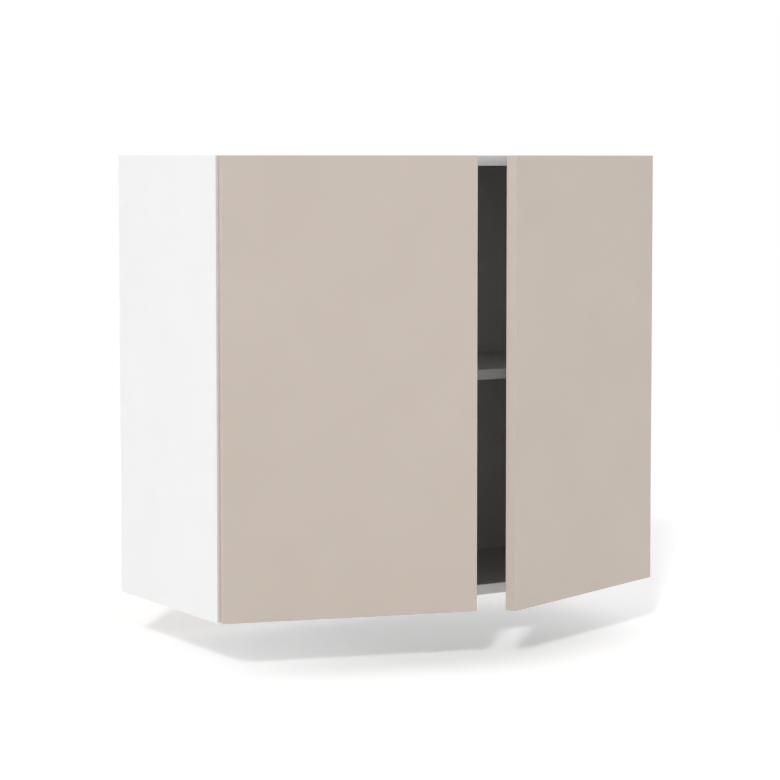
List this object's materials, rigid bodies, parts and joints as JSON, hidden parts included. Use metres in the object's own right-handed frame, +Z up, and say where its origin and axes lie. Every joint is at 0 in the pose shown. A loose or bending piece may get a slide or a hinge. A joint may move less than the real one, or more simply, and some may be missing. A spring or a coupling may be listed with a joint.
{
  "type": "kitchen wall cabinet",
  "caption": "Wall-hung kitchen cabinet: a white box with a back, a loose shelf and plain taupe doors on concealed cup hinges, hung by hooks from a wall rail.",
  "frame": {"origin": "on the wall plane at mid-width, at the height where the hanger hooks bear on their wall rail", "axes": "+X to the right seen from the front, +Y into the wall so the doors face -Y, +Z up"},
  "size_m": [0.8012, 0.4899, 0.7],
  "materials": {
    "white_board": "matt white melamine on chipboard",
    "white_edge": "matt white edge band",
    "grey_board": "matt pale grey melamine on chipboard",
    "grey_hardboard": "hardboard with a matt pale grey face",
    "taupe_board": "smooth matt taupe laminate on board",
    "taupe_edge": "matt taupe edge band",
    "clear_rubber": "soft translucent bumper",
    "white_plastic": "push-on cover",
    "beech": "bare fluted dowel",
    "grey_plastic": "moulded housing",
    "zinc": "die-cast zinc",
    "steel": "nickel-plated steel"
  },
  "bodies": {
    "carcass": {"back_panel": "grey_hardboard", "bottom_edge_band": "white_edge", "bottom_panel": "white_board", "cam_bolts": "zinc", "cam_covers": "white_plastic", "cam_locks": "zinc", "hanger_screws": "steel", "hinge_arm_screws": "steel", "hinge_plate_screws": "steel", "left_hanger_hook": "steel", "left_hanger_housing": "grey_plastic", "left_lower_hinge_arm": "steel", "left_lower_hinge_plate": "steel", "left_side_edge_band": "white_edge", "left_side_panel": "white_board", "left_upper_hinge_arm": "steel", "left_upper_hinge_plate": "steel", "right_hanger_hook": "steel", "right_hanger_housing": "grey_plastic", "right_lower_hinge_arm": "steel", "right_lower_hinge_plate": "steel", "right_side_edge_band": "white_edge", "right_side_panel": "white_board", "right_upper_hinge_arm": "steel", "right_upper_hinge_plate": "steel", "shelf_supports": "steel", "top_edge_band": "white_edge", "top_panel": "white_board", "wooden_dowels": "beech"},
    "left_door": {"left_cup_screws": "steel", "left_door_bumpers": "clear_rubber", "left_door_edge_bands": "taupe_edge", "left_door_panel": "taupe_board", "left_hinge_pins": "steel", "left_lower_hinge_cup": "steel", "left_upper_hinge_cup": "steel"},
    "right_door": {"right_cup_screws": "steel", "right_door_bumpers": "clear_rubber", "right_door_edge_bands": "taupe_edge", "right_door_panel": "taupe_board", "right_hinge_pins": "steel", "right_lower_hinge_cup": "steel", "right_upper_hinge_cup": "steel"},
    "shelf": {"shelf": "grey_board", "shelf_edge_band": "white_edge"}
  },
  "joints": [
    {"name": "left_door_swing", "type": "hinge", "parent": "carcass", "child": "left_door", "pos_m": [-0.3912, -0.3425, 0], "axis": [0, 0, -1], "range_deg": [-16.2, 83.8]},
    {"name": "right_door_swing", "type": "hinge", "parent": "carcass", "child": "right_door", "pos_m": [0.3912, -0.3425, 0], "axis": [0, 0, 1], "range_deg": [-21, 79]},
    {"name": "shelf_lift", "type": "slide", "parent": "carcass", "child": "shelf", "axis": [0, 0, 1], "range_m": [0, 0.128]}
  ]
}
